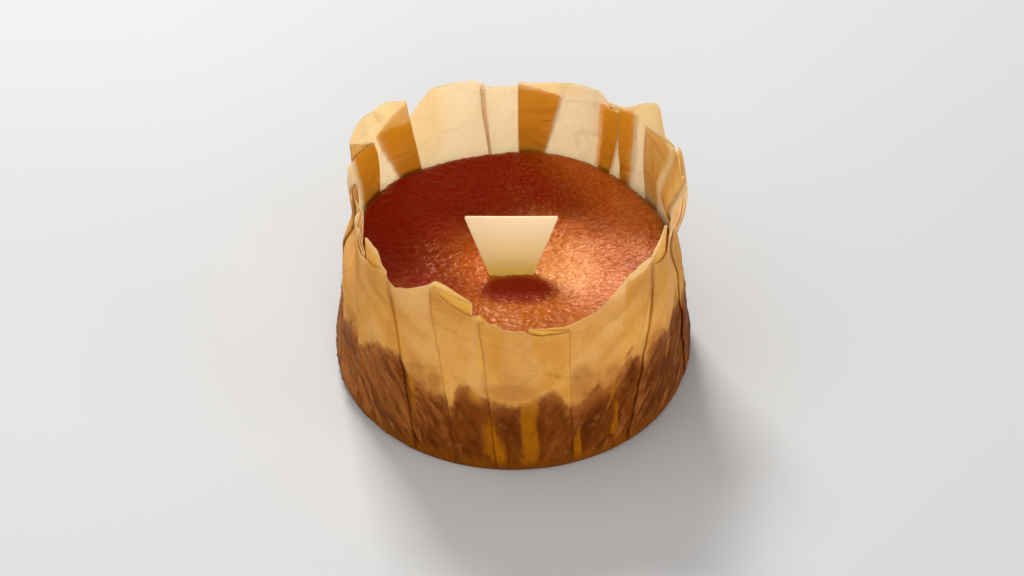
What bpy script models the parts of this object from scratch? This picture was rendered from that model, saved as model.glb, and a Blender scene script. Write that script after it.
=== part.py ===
"""A small round baked cheesecake in its pleated baking paper, with a card standing in it.

The origin is the middle of the foot, +Z is up and the front faces -Y. Angles go round
the cake in degrees from the front, counter-clockwise seen from above, so 90 is +X.
"""
from collections import namedtuple

import bpy
import numpy as np

MM = 0.001

# Sizes of the whole, in millimetres
PAPER_THICKNESS = 0.4
LAYER_PITCH = 0.95          # from one layer of a pleat to the next
PAPER_CLEARANCE = 0.35      # between the cake and the innermost layer
CARD_CLEARANCE = 0.35

# The wall's middle radius at rising heights: a rounded foot, then a slight taper
WALL_HEIGHTS = (0, 1.5, 4, 8, 17, 26, 40, 52, 84)
WALL_RADII = (59.4, 60.0, 60.2, 60.1, 59.1, 58.0, 56.4, 55.3, 54.6)

# The cake's top, from the middle to the rounded shoulder: share of the top radius,
# height, and how much of the crest's unevenness each ring takes
TOP_RINGS = (
    (0.10, 34.6, 0.00), (0.22, 34.9, 0.02), (0.35, 35.9, 0.10), (0.48, 37.2, 0.25),
    (0.60, 38.6, 0.45), (0.71, 40.0, 0.65), (0.81, 41.3, 0.85), (0.89, 42.2, 1.00),
    (0.945, 42.4, 1.00), (0.980, 41.4, 0.95), (1.000, 39.4, 0.90),
)
TOP_MIDDLE = 34.5
SIDE_HEIGHTS = (33, 26, 17, 8, 3.4)
FOOT_ROUNDING = ((0.9, 0.8), (3.0, 0))   # how far in from the side and up from its floor
CAKE_FLOOR = 0.75
CAKE_SEGMENTS = 72
SHARP_ANGLE = 35

# Card: a tapering strip that leans back, its foot pushed into the skin
CARD_TOP_WIDTH = 31.6
CARD_SURFACE_WIDTH = 14.4
CARD_LENGTH = 21.4          # what stands above the skin
CARD_FOOT = 4.0             # what is pushed in
CARD_THICKNESS = 0.5
CARD_LEAN = 20              # degrees back from upright
CARD_PLACE = (-0.4, -3.0, 34.8)

# Pleats: each is one knife fold of the sheet, which runs to the further edge, doubles
# back to the nearer one and runs on. The angle at the foot comes first, then those of
# the fold edges seen from outside and from inside at PLEAT_REFERENCE height, then the
# paper's edge over the panel that follows, as angles and heights.
Pleat = namedtuple("Pleat", "foot outer inner rim")
PLEAT_REFERENCE = 60
PLEAT_OPENS = 3.5           # height by which the layers stand a full pitch apart
PLEAT_START = 5.5           # height from which the fold edges draw apart
SPREAD_END = 14             # height up to which a pleat's layers reach past its edges
PLEAT_RAMP = 0.55           # half width in degrees of the step between layers at the foot
PLEAT_SPREAD = 2.1          # how far in degrees the layers reach past the edges there
TOP_TRAVEL = 0.3            # how much the edges still draw apart above the reference height
MIDDLE_SLANT = 0.13         # share of the pitch by which the middle layer's ends stand off
PLEATS = (
    Pleat(-5, -11, -4, ((-11, 60), (-4, 58.4), (3, 58.6), (5.5, 56.4), (18.7, 55.8))),
    Pleat(18.7, 18.7, 5, ((5, 58.3), (18, 57.4), (25, 59), (30, 60.8), (35, 66), (40, 69.5),
                          (45, 71.5), (50, 70.5), (53, 68.5))),
    Pleat(33.5, 53, 40, ((40, 68), (53, 64), (57, 65), (63, 68), (70, 69))),
    Pleat(39.5, 57, 70, ((57, 63), (61, 60.8), (70, 60), (80, 62), (92, 65))),
    Pleat(74, 79, 92, ((79, 62), (92, 65), (100, 69.5), (110, 71.5))),
    Pleat(104, 110, 98, ((98, 69), (105, 72), (113, 70.5), (120, 69), (126, 70))),
    Pleat(125, 113.5, 126, ((113.5, 69), (119, 70), (121.5, 83), (128, 79.5), (131.5, 77),
                            (138, 73.5))),
    Pleat(137.5, 131, 138, ((131, 75), (138, 73), (142.5, 72), (148, 73))),
    Pleat(152, 148, 142.5, ((142.5, 71.5), (144.5, 75), (148, 76.5), (155, 76), (165, 74),
                            (175, 72), (177.5, 72.5))),
    Pleat(177.5, 164.7, 177.5, ((164.7, 69), (178, 70), (184, 70.3), (190.5, 70.5))),
    Pleat(187, 184, 190.5, ((184, 71.5), (191, 71.5), (194, 73.3), (207, 73.3), (212, 69.5),
                            (217, 66), (222, 66), (231.8, 69))),
    Pleat(206, 231.8, 218.7, ((218.7, 75), (224, 78.5), (231, 80), (240, 80), (245, 78),
                              (250, 75.5))),
    Pleat(232, 250, 236, ((236, 66), (240, 68), (250, 69), (256, 70), (262, 68), (268, 66))),
    Pleat(258, 268, 256.5, ((256.5, 62), (262, 64), (270, 65), (280, 67), (290, 69))),
    Pleat(287, 283, 290, ((283, 69.5), (288, 70.5), (294, 69), (299.5, 66))),
    Pleat(302, 293, 299.5, ((293, 68), (298, 66), (308, 65.8), (311, 68), (314.5, 68))),
    Pleat(328, 314.5, 302.5, ((302.5, 73), (309, 72.5), (311, 68), (314.5, 63), (317, 62),
                              (325, 66), (330, 69), (334, 72.5), (338, 71), (346, 67))),
    Pleat(342, 332.5, 346, ((332.5, 70.5), (338, 66), (343, 63.8), (349, 62), (351.5, 58.8),
                            (356, 58.4))),
)
WIDE_PLEAT = 9              # degrees from which a layer takes one more point
PANEL_STEP = 6              # degrees between the points of a flat panel
SHEET_ROWS = (0, 1.5, 3.5, 5.5, 9, 19, 32, 45)   # heights that all columns share
MITRE_LIMIT = 0.6           # least cosine of half a corner, so that no corner grows a spike


def ring_points(radius, angle, height):
    """Points at a radius, an angle in degrees and a height, as an (n, 3) array."""
    turn = np.radians(angle)
    return np.stack(np.broadcast_arrays(radius * np.sin(turn), -radius * np.cos(turn), height), -1)


def wall_radius(angle, height):
    """The wall's middle radius: the profile, with slow waves that grow with height."""
    turn = np.radians(angle)
    waves = 0.35 * np.sin(2 * turn + 0.6) + 0.3 * np.sin(3 * turn - 1.2) + 0.2 * np.sin(7 * turn)
    return np.interp(height, WALL_HEIGHTS, WALL_RADII) + waves * height / PLEAT_REFERENCE


def crest_unevenness(angle):
    """How far the shoulder stands off its mean: a swell at the left of the back, and waves."""
    turn = np.radians(angle)
    rise = 3.0 * np.exp(-((np.mod(angle, 360) - 238) / 32) ** 2)
    return rise - 0.3 + 0.6 * np.sin(2 * turn + 2.2) + 0.5 * np.sin(5 * turn + 0.4)


def broad_bumps(x, y):
    """Shallow swells of the skin between the middle and the shoulder."""
    return 0.35 * np.sin(0.16 * x + 0.11 * y + 0.7) * np.sin(0.13 * y - 0.07 * x + 1.9)


def cake_rings():
    """Rings of the cake from the top's middle out over the shoulder and down the side."""
    angle = np.arange(CAKE_SEGMENTS) * 360 / CAKE_SEGMENTS
    clear = LAYER_PITCH + PAPER_THICKNESS / 2 + PAPER_CLEARANCE
    top_radius = wall_radius(angle, TOP_RINGS[-1][1]) - clear
    rings = []
    for share, height, uneven in TOP_RINGS:
        points = ring_points(share * top_radius, angle, height + uneven * crest_unevenness(angle))
        points[:, 2] += broad_bumps(points[:, 0], points[:, 1]) * (1 - share ** 4)
        rings.append(points)
    for height in SIDE_HEIGHTS:
        rings.append(ring_points(wall_radius(angle, height) - clear, angle, height))
    foot_radius = wall_radius(angle, SIDE_HEIGHTS[-1]) - clear
    for inset, rise in FOOT_ROUNDING:
        rings.append(ring_points(foot_radius - inset, angle, CAKE_FLOOR + rise))
    return rings


def shifted(pleat, turn):
    """The same pleat, its angles a whole turn on or back."""
    rim = tuple((angle + turn, height) for angle, height in pleat.rim)
    return Pleat(pleat.foot + turn, pleat.outer + turn, pleat.inner + turn, rim)


def smooth(value):
    """An ease from 0 to 1, flat at both ends."""
    value = np.clip(value, 0, 1)
    return value * value * (3 - 2 * value)


def rim_height(pleat, angle):
    """The paper's edge height over the panel that follows a pleat."""
    angles, heights = zip(*pleat.rim)
    return np.interp(angle, angles, heights)


def pleat_columns(before, pleat):
    """One pleat's points along the sheet.

    The rows are the angle at the reference height, the layer, the shares of the spread
    and of the ramp, the edge height and the angle at the foot. The sheet arrives on the
    layer of the further edge, doubles back across the middle and leaves on the other
    layer. Both ends of the middle stand a little off centre.
    """
    near, far = min(pleat.outer, pleat.inner), max(pleat.outer, pleat.inner)
    arrive = 1.0 if pleat.outer > pleat.inner else -1.0
    share = np.linspace(0, 1, 4 if far - near > WIDE_PLEAT else 3)
    across = near + (far - near) * share
    level, one = np.zeros(len(share)), np.ones(len(share))
    arrive_rim, leave_rim = rim_height(before, across), rim_height(pleat, across)
    middle_rim = np.linspace(arrive_rim[-1], leave_rim[0], len(share))
    arriving = (across, arrive * one, share - 1, -one, arrive_rim)
    middle = (across[::-1], MIDDLE_SLANT * arrive * (1 - 2 * share), level, share - 0.5, middle_rim)
    leaving = (across, -arrive * one, share, one, leave_rim)
    columns = np.concatenate([arriving, middle, leaving], axis=1)
    return np.concatenate([columns, np.full((1, columns.shape[1]), pleat.foot)])


def panel_columns(pleat, after):
    """Points of the flat panel between two pleats, in the same rows as a pleat's.

    The panel eases from the one pleat's layer to the next one's.
    """
    start = max(pleat.outer, pleat.inner)
    end = min(after.outer, after.inner)
    count = max(1, round((end - start) / PANEL_STEP))
    share = np.arange(1, count + 1) / (count + 1)
    leave = -1.0 if pleat.outer > pleat.inner else 1.0
    arrive = 1.0 if after.outer > after.inner else -1.0
    angles = start + (end - start) * share
    foot_start = pleat.foot + PLEAT_SPREAD + PLEAT_RAMP
    foot_end = after.foot - PLEAT_SPREAD - PLEAT_RAMP
    feet = foot_start + (foot_end - foot_start) * share
    level = np.zeros(count)
    layers = leave + (arrive - leave) * smooth(share)
    return np.stack([angles, layers, level, level, rim_height(pleat, angles), feet])


def sheet_columns():
    """All points along the sheet once round the cake, in the same rows."""
    before = [shifted(PLEATS[-1], -360), *PLEATS[:-1]]
    after = [*PLEATS[1:], shifted(PLEATS[0], 360)]
    parts = []
    for previous, pleat, following in zip(before, PLEATS, after):
        parts += [pleat_columns(previous, pleat), panel_columns(pleat, following)]
    return np.concatenate(parts, axis=1)


def sheet_rows():
    """Rows of the sheet's middle surface from the foot up to its uneven edge.

    From the foot up a pleat's layers step apart over a ramp, the ramp stands upright at
    PLEAT_START, and from there the two fold edges draw apart with the height.
    """
    angles, layers, spreads, ramps, rims, feet = sheet_columns()
    heights = [np.full(len(angles), float(row)) for row in SHEET_ROWS]
    heights += [(heights[-1] + rims) / 2, rims]
    rows = []
    for height in heights:
        travel = np.maximum(height - PLEAT_START, 0) / (PLEAT_REFERENCE - PLEAT_START)
        travel = np.minimum(travel, 1) + TOP_TRAVEL * np.maximum(travel - 1, 0)
        opened = smooth(height / PLEAT_OPENS)
        ramp = PLEAT_RAMP * np.clip(1 - height / PLEAT_START, 0, 1)
        spread = PLEAT_SPREAD * np.clip((SPREAD_END - height) / (SPREAD_END - PLEAT_START), 0, 1)
        angle = feet + (angles - feet) * travel + spreads * spread + ramps * ramp
        radius = wall_radius(angle, height) + LAYER_PITCH * layers * opened
        rows.append(ring_points(radius, angle, height))
    return rows


def face_of(row, offset):
    """A row moved sideways in plan, each point along the mitre of its two neighbours."""
    ahead = np.roll(row, -1, axis=0)[:, :2] - row[:, :2]
    ahead /= np.linalg.norm(ahead, axis=1, keepdims=True)
    outward = np.stack([ahead[:, 1], -ahead[:, 0]], -1)
    mitre = outward + np.roll(outward, 1, axis=0)
    mitre /= np.linalg.norm(mitre, axis=1, keepdims=True)
    reach = offset / np.maximum(np.sum(mitre * outward, axis=1), MITRE_LIMIT)
    moved = row.copy()
    moved[:, :2] += mitre * reach[:, None]
    return moved


def sheet_rings():
    """Rings of the closed paper: up its outer face, over the edge and down its inner one."""
    rows = sheet_rows()
    outside = [face_of(row, PAPER_THICKNESS / 2) for row in rows]
    inside = [face_of(row, -PAPER_THICKNESS / 2) for row in rows]
    inside[0][:, 2] = PAPER_THICKNESS
    return outside + inside[::-1]


def loft_mesh(name, rings, middle=None):
    """A closed mesh through rings of equal count, from a flat foot face up the outside.

    The last ring is closed by another flat face, or by a fan round a middle point.
    """
    count = len(rings[0])
    points = np.concatenate(rings)
    step = np.arange(count)
    onward = (step + 1) % count
    last = len(points) - count
    faces = [step[::-1].tolist()]
    for low in range(0, last, count):
        high = low + count
        faces += np.stack([low + step, low + onward, high + onward, high + step], -1).tolist()
    if middle is None:
        faces.append((last + step).tolist())
    else:
        faces += np.stack([last + step, last + onward, np.full(count, len(points))], -1).tolist()
        points = np.concatenate([points, [middle]])
    mesh = bpy.data.meshes.new(name)
    mesh.from_pydata((points * MM).tolist(), [], faces)
    mesh.validate()
    mesh.shade_smooth()
    mesh.set_sharp_from_angle(angle=np.radians(SHARP_ANGLE))
    return mesh


def principled(name, colour, roughness, metallic=0.0):
    """A plain material of one colour."""
    material = bpy.data.materials.new(name)
    material.use_nodes = True
    shader = material.node_tree.nodes["Principled BSDF"]
    shader.inputs["Base Color"].default_value = (*colour, 1)
    shader.inputs["Roughness"].default_value = roughness
    shader.inputs["Metallic"].default_value = metallic
    return material


def card_object(name, grow, collection):
    """The card, or with grow the room round its foot, as a mesh in place.

    The outline is a flat curve from the pushed-in foot up to the top corners.
    """
    taper = (CARD_TOP_WIDTH - CARD_SURFACE_WIDTH) / CARD_LENGTH
    foot_width = CARD_SURFACE_WIDTH - taper * CARD_FOOT
    low, high = -CARD_FOOT - grow, CARD_LENGTH
    curve = bpy.data.curves.new(name, "CURVE")
    curve.dimensions = "2D"
    curve.fill_mode = "BOTH"
    curve.extrude = (CARD_THICKNESS / 2 + grow) * MM
    outline = curve.splines.new("POLY")
    outline.points.add(3)
    corners = ((-foot_width / 2 - grow, low), (foot_width / 2 + grow, low),
               (CARD_TOP_WIDTH / 2 + grow, high), (-CARD_TOP_WIDTH / 2 - grow, high))
    for point, (across, along) in zip(outline.points, corners):
        point.co = (across * MM, along * MM, 0, 1)
    outline.use_cyclic_u = True
    drawn = bpy.data.objects.new(name + "_outline", curve)
    collection.objects.link(drawn)
    drawn.location = [value * MM for value in CARD_PLACE]
    drawn.rotation_euler = (np.radians(90 - CARD_LEAN), 0, 0)
    bpy.context.view_layer.update()
    evaluated = drawn.evaluated_get(bpy.context.evaluated_depsgraph_get())
    mesh = bpy.data.meshes.new_from_object(evaluated)
    made = bpy.data.objects.new(name, mesh)
    made.matrix_world = drawn.matrix_world
    collection.objects.link(made)
    bpy.data.objects.remove(drawn)
    weld = made.modifiers.new("Weld", "WELD")
    weld.merge_threshold = 0.00001
    return made


def make_cake(collection, cutters, material):
    """The cake: one solid with a sunken middle, slit where the card stands."""
    mesh = loft_mesh("cheesecake", cake_rings()[::-1], middle=(0, 0, TOP_MIDDLE))
    cake = bpy.data.objects.new("cheesecake", mesh)
    collection.objects.link(cake)
    cake.data.materials.append(material)
    slit = card_object("card_slit", CARD_CLEARANCE, cutters)
    slit.hide_render = True
    slit.display_type = "WIRE"
    cut = cake.modifiers.new("Slit for the card", "BOOLEAN")
    cut.operation = "DIFFERENCE"
    cut.object = slit
    return cake


def make_paper(collection, material):
    """The baking paper: floor and pleated wall are one sheet."""
    paper = bpy.data.objects.new("baking_paper", loft_mesh("baking_paper", sheet_rings()))
    collection.objects.link(paper)
    paper.data.materials.append(material)
    return paper


def make_card(collection, material):
    """The card, plain on both sides."""
    card = card_object("card", 0, collection)
    card.data.materials.append(material)
    return card


def new_collection(name):
    """A collection in the scene."""
    collection = bpy.data.collections.new(name)
    bpy.context.scene.collection.children.link(collection)
    return collection


def main():
    for item in list(bpy.data.objects):
        bpy.data.objects.remove(item)
    parts = new_collection("Baked cheesecake")
    cutters = new_collection("Cutters")
    make_cake(parts, cutters, principled("Baked skin", (0.30, 0.07, 0.02), 0.4))
    make_paper(parts, principled("Baking paper", (0.62, 0.37, 0.13), 0.6))
    make_card(parts, principled("Gold card", (0.75, 0.60, 0.30), 0.35, 0.3))


main()
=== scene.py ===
from collections import namedtuple

import bpy
import numpy as np
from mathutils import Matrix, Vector


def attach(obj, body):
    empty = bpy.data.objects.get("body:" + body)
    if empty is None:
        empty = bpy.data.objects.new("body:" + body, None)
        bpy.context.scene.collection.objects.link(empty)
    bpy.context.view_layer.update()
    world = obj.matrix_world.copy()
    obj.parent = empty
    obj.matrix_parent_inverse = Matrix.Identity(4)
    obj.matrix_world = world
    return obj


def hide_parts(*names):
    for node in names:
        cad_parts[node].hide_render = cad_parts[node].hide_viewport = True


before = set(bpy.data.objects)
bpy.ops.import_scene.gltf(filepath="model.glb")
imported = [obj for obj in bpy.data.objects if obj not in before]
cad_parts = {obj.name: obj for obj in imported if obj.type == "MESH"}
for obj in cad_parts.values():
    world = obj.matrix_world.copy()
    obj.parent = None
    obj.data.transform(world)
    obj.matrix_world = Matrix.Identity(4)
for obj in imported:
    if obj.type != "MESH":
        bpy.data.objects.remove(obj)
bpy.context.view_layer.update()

# Baking paper
# One sheet of thin golden baking paper, pushed into the round tin so that its spare width
# lies in knife folds. It is single and see-through above the cake, has a painted amber glow
# of light through its layers where a fold makes it three layers, and is soaked brown where
# the cake baked against it.
MM = 0.001
SHEET = 0.13                 # thickness
PITCH_LOW = 0.34             # from layer to layer, pressed against the cake
PITCH_HIGH = 0.80            # and where the folds stand free
PITCH_OPENS = (34, 62)       # heights between which it grows
WALL_HEIGHTS = (0, 1.5, 4, 8, 17, 26, 40, 52, 84)
WALL_RADII = (59.4, 60.0, 60.2, 60.1, 59.1, 58.0, 56.4, 55.3, 54.6)   # middle radius at each
NOMINAL_RADIUS = 60          # of the wall, where millimetres become degrees

# Each fold: its angle at the foot, those of the fold edges seen from outside and from
# inside at FOLD_REFERENCE height, how deep the painted amber glow of light through its
# layers is, and the sheet's free edge over the panel that follows. Angles go round from the
# front, counter-clockwise seen from above.
Pleat = namedtuple("Pleat", "foot outer inner amber rim")
FOLD_REFERENCE = 60
PLEAT_OPENS = 3.5            # height over which a fold's layers step apart
PLEAT_START = 5.5            # height from which its edges draw apart
SPREAD_END = 14              # height where its least width at the foot has gone
PLEAT_RAMP = 0.55            # degrees, half the ramp between its outer layers at the foot
PLEAT_SPREAD = 2.1           # degrees that it reaches each way at the foot
MIDDLE_SLANT = 0.13          # in layers, how far its middle layer slants each way
SWAYS = (                    # angle, and degrees of sway for each mm over FOLD_REFERENCE
    (0, 0), (40, 0.05), (70, 0.1), (92, 0.05), (110, 0), (132, -0.05), (150, -0.1),
    (164.7, -0.19), (177.5, 0), (190.5, 0.06), (206, 0.1), (218.7, 0.2), (231.8, 0.36),
    (238, 0.33), (250, 0.16), (268, 0.05), (290, 0), (302.5, -0.1), (314.5, -0.08), (346, 0),
)

# Where the wall leans in over the cake, or out if the depth is below nought: angle, half
# width, the two heights between which it sets in, and depth.
DENTS = (
    (271, 19, 42, 54, 3.6), (286, 12, 44, 58, 1.6), (92, 26, 41, 54, 2.6), (66, 14, 46, 62, 2.2),
    (100, 22, 53, 68, -5.0), (259, 12, 56, 68, -1.8), (150, 9, 50, 70, 1.2),
)
PLEATS = (
    Pleat(-5, -11, -4, 0.6, ((-11, 60), (-4, 58.4), (3, 58.6), (5.5, 56.4), (18.7, 55.8))),
    Pleat(18.7, 18.7, 5, 0.6, (
        (5, 58.3), (18, 57.4), (25, 59), (30, 60.8), (35, 66), (40, 69.5), (45, 71.5),
        (50, 70.5), (53, 68.5))),
    Pleat(33.5, 53, 40, 0.6, ((40, 68), (53, 64), (57, 65), (63, 68), (70, 69))),
    Pleat(39.5, 57, 70, 0.5, ((57, 63), (61, 60.8), (70, 60), (80, 62), (92, 65))),
    Pleat(74, 79, 92, 0.4, ((79, 62), (92, 65), (100, 69.5), (110, 71.5))),
    Pleat(104, 110, 98, 0.45, ((98, 69), (105, 72), (113, 70.5), (120, 69), (126, 70))),
    Pleat(125, 113.5, 126, 0.40, (
        (113.5, 69), (119, 70), (121.5, 83), (128, 79.5), (132, 77), (137.8, 73.5))),
    Pleat(139.3, 132, 137.8, 1.0, ((132, 75), (138, 73), (141, 72), (146.5, 72))),
    Pleat(152, 146.5, 139, 1.0, (
        (139, 71.5), (143, 70.8), (144.5, 75), (148, 76.5), (155, 76), (165, 74), (175, 72),
        (177.5, 72.5))),
    Pleat(177.5, 164.7, 177.5, 0.9, ((164.7, 69), (178, 70), (184, 70.3), (190.5, 70.8))),
    Pleat(184, 189.8, 190.5, 0.1, (
        (189.8, 70.8), (191.5, 72), (194, 73.3), (207, 73.3), (212, 69.5), (217, 66), (222, 66),
        (231.8, 69))),
    Pleat(206, 231.8, 218.7, 0.9, (
        (218.7, 75), (224, 78.5), (231, 80), (240, 80), (245, 78), (250, 75.5))),
    Pleat(232, 250, 236, 0.9, ((236, 66), (240, 68), (250, 69), (256, 70), (262, 68), (268, 66))),
    Pleat(258, 268, 256.5, 0.7, ((256.5, 62), (262, 64), (270, 65), (280, 67), (290, 69))),
    Pleat(287, 283, 290, 0.6, ((283, 69.5), (288, 70.5), (294, 69), (299.5, 66))),
    Pleat(302, 293, 299.5, 0.6, ((293, 68), (298, 66), (308, 65.8), (311, 68), (314.5, 68))),
    Pleat(328, 314.5, 302.5, 0.6, (
        (302.5, 73), (309, 72.5), (311, 68), (314.5, 63), (317, 62), (325, 66), (330, 69),
        (334, 72.5), (338, 71), (346, 67))),
    Pleat(342, 332.5, 346, 0.6, (
        (332.5, 70.5), (338, 66), (343, 63.8), (349, 62), (351.5, 58.8), (356, 58.4))),
)

# The baked part reaches up to an uneven line of angles and heights. Streaks without
# browning run down through it: angle and height of both ends, and half their width.
# Hazes are half browned patches over it, and shade tints are tan patches of painted shade
# on the inner face: angle, height, and half their width and height.
TIDE_LINE = (
    (-180, 34), (-168, 31), (-152, 36), (-140, 33), (-126, 36), (-112, 30), (-104, 24),
    (-100, 19), (-92, 25), (-84, 33), (-80.5, 31), (-79, 24), (-76, 26), (-72, 29.5),
    (-61.5, 31), (-60.5, 27.5), (-59, 28), (-57.5, 33), (-54, 35.5), (-50, 35.5), (-46, 37),
    (-40.5, 37.5), (-38.6, 36), (-36, 30.5), (-30, 30), (-28, 28), (-22, 28.5), (-20.6, 24),
    (-19, 27), (-18, 32), (-16, 33.5), (-13.5, 32), (-11, 31), (-9, 28), (-5, 30), (3, 30),
    (8, 30), (9.5, 33), (13, 33.5), (15.5, 31), (17.3, 26), (18.8, 25), (24, 28),
    (28.5, 31), (31, 29), (36, 30), (38.5, 33), (41.5, 37), (44, 35), (46.5, 32.5), (48.5, 30),
    (51, 33.5), (56, 36), (60, 36), (62.5, 30), (65, 36), (68, 38), (72, 36), (84, 33),
    (92, 30), (100, 28), (112, 33), (124, 30), (138, 35), (152, 31), (166, 35), (180, 34),
)
STREAKS = (
    (-36.6, 36, -33.2, 17, 0.8), (-12, 36, -4, 3, 1.5), (5.3, 35, 5.5, 2, 1.8),
    (34.6, 32, 33.4, 8, 0.9), (20.5, 16, 21, 2, 0.9), (63.5, 37, 61, 22, 0.5),
    (-50.5, 36, -47.5, 27, 1.8), (-92, 28, -88, 18, 1.0), (104, 30, 108, 14, 1.2),
    (143, 36, 140, 15, 1.0), (-158, 35, -155, 12, 1.3), (-121, 34, -124, 16, 0.9),
    (171, 34, 172, 10, 1.4),
)
HAZES = (
    (23.5, 33, 4.8, 8), (34, 31, 4, 6), (-26.5, 31, 2.8, 6), (-68, 33, 6, 4), (0, 33, 9, 4),
    (-33, 33, 4, 5), (54, 35, 5, 4), (29, 32, 1.3, 5), (73, 38, 4, 5), (150, 35, 8, 6),
    (-145, 37, 9, 5), (120, 34, 6, 5), (-110, 34, 6, 4),
)
SHADE_TINTS = (
    (104, 58, 13, 30), (124, 76, 8, 13), (212, 60, 8, 40), (164, 72, 10, 3), (134, 72, 5, 5),
    (237, 73, 22, 16), (277, 58, 9, 12), (118, 60, 9, 26), (250, 52, 8, 14),
)

COLUMN_STEP = 1.22           # degrees between the sheet's columns, at FOLD_REFERENCE
MIDDLE_STEP = 2.6            # and in a fold's hidden middle layer
FOOT_ROWS = (0, 0.5, 1.1, 1.9, 2.8, 3.8, 4.7, 5.5)   # heights of the lowest rows
ROW_STEP = 1.18              # from row to row above them
FREE_START = 45              # height from which the rows follow the free edge
FREE_ROWS = 24
RIM_SOFT = 0.9               # height over which a layer's edge fades in the count of layers
STREAK_END = 4               # height over which a streak's ends fade
MITRE_LIMIT = 0.6            # the least cosine that a bend's offset is divided by
NOISE_CELLS = 512            # random values each way in a noise's table

WRINKLE_LEAN = 1.25          # degrees for each mm of height, at the sides
LEAN_LEVEL = 20              # height where a leaning line is at its own angle
GRAIN_LENGTH = 0.33          # of each height, so that the wrinkles' grain is drawn out upwards
BROAD_RIDGES = (48, 19)      # noise cells once round the cake, and the height of one
FINE_RIDGES = (110, 10)
FREE_WAVES = (26, 34)
FREE_KINKS = (30, 30)
KINK_RISE = 40               # height in which a kink moves on by one cell
BROAD_DEPTH, FINE_DEPTH = 0.75, 0.50
WAVE_DEPTH, KINK_DEPTH = 0.9, 0.35
RIDGE_START = 5              # height over which the ridges set in at the foot
RIDGE_END = 12               # and height over the browning where they end
RIDGE_FADE = 18              # after fading over this height
FREE_FROM = 26               # height where the free wall's waves set in
FREE_RISE = 34               # and over which they grow


def smooth(value):
    """An ease from 0 to 1, flat at both ends: three squares less two cubes."""
    value = np.clip(value, 0, 1)
    return value * value * (3 - 2 * value)


def ring_points(radius, angle, height):
    """Points at a radius, an angle in degrees and a height: sine to +X, cosine to -Y."""
    turn = np.radians(angle)
    return np.stack(np.broadcast_arrays(radius * np.sin(turn), -radius * np.cos(turn), height), -1)


def lattice_noise(across, up, seed, around=NOISE_CELLS):
    """Smooth noise from -1 to 1: random values at whole numbers, eased between the four nearest.

    After `around` cells across it comes round to its start.
    """
    table = np.random.default_rng(seed).uniform(-1, 1, (NOISE_CELLS, NOISE_CELLS))
    column, row = np.floor(across).astype(int), np.floor(up).astype(int)
    aside, above = smooth(across - column), smooth(up - row)
    left, right = column % around, (column + 1) % around
    low, high = row % NOISE_CELLS, (row + 1) % NOISE_CELLS
    bottom = table[left, low] * (1 - aside) + table[right, low] * aside
    top = table[left, high] * (1 - aside) + table[right, high] * aside
    return bottom * (1 - above) + top * above


def wall_radius(angle, height):
    """The wall's middle radius: the profile, with slow waves that grow with height."""
    turn = np.radians(angle)
    waves = 0.35 * np.sin(2 * turn + 0.6) + 0.3 * np.sin(3 * turn - 1.2) + 0.2 * np.sin(7 * turn)
    return np.interp(height, WALL_HEIGHTS, WALL_RADII) + waves * height / FOLD_REFERENCE


def dents(angle, height):
    """How far the wall leans in, in millimetres: eased across and upwards at each dent."""
    depth = np.zeros(np.broadcast_shapes(np.shape(angle), np.shape(height)))
    for middle, half, low, high, deep in DENTS:
        away = abs((angle - middle + 180) % 360 - 180) / half
        depth = depth + deep * smooth(1.3 - away) * smooth((height - low) / (high - low))
    return depth


def tide_height(angle):
    """Height of the browning's upper limit at an angle."""
    angles, heights = zip(*TIDE_LINE)
    return np.interp((angle + 180) % 360 - 180, angles, heights)


def leaning(angle, height):
    """The angle at which a line that leans as the wrinkles do passes LEAN_LEVEL."""
    return angle - WRINKLE_LEAN * np.sin(np.radians(angle)) * (height - LEAN_LEVEL)


def noise_round(angle, height, cells, seed, shift=0):
    """Lattice noise whose cells are given by their number round the cake and their height."""
    count, tall = cells
    return lattice_noise(angle * count / 360 + shift, height / tall, seed, around=count)


def creases(angle, height):
    """How far the crumpled paper stands out, in millimetres.

    The browned part has two sizes of ridges that lean as the folds do. Each is a power of
    one less the size of a noise, so that it is sharp where the noise crosses nought. The
    free wall above has slow waves, and kinks that are made as the ridges are.
    """
    lean = leaning(angle, height)
    broad = 1 - abs(noise_round(lean, height, BROAD_RIDGES, 3))
    fine = 1 - abs(noise_round(lean, height, FINE_RIDGES, 4, shift=7.3))
    soaked = smooth((tide_height(angle) + RIDGE_END - height) / RIDGE_FADE)
    soaked = soaked * smooth(height / RIDGE_START)
    ridges = BROAD_DEPTH * broad ** 3 + FINE_DEPTH * fine ** 3 - 0.5
    slow = noise_round(angle, height, FREE_WAVES, 5)
    kinks = 1 - abs(noise_round(angle, height, FREE_KINKS, 6, shift=height / KINK_RISE))
    free = smooth((height - FREE_FROM) / FREE_RISE)
    return ridges * soaked + free * (WAVE_DEPTH * (slow + 0.3) + KINK_DEPTH * kinks ** 4)


def shifted(pleat, turn):
    """The same fold, its angles a whole turn on or back."""
    rim = tuple((angle + turn, height) for angle, height in pleat.rim)
    return Pleat(pleat.foot + turn, pleat.outer + turn, pleat.inner + turn, pleat.amber, rim)


def rim_height(pleat, angle):
    """The free edge's height over the panel that follows a fold, slightly wavy."""
    angles, heights = zip(*pleat.rim)
    wave = 0.35 * lattice_noise(angle / 3.1 + pleat.foot, np.zeros_like(angle), 8)
    return np.interp(angle, angles, heights) + wave


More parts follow.
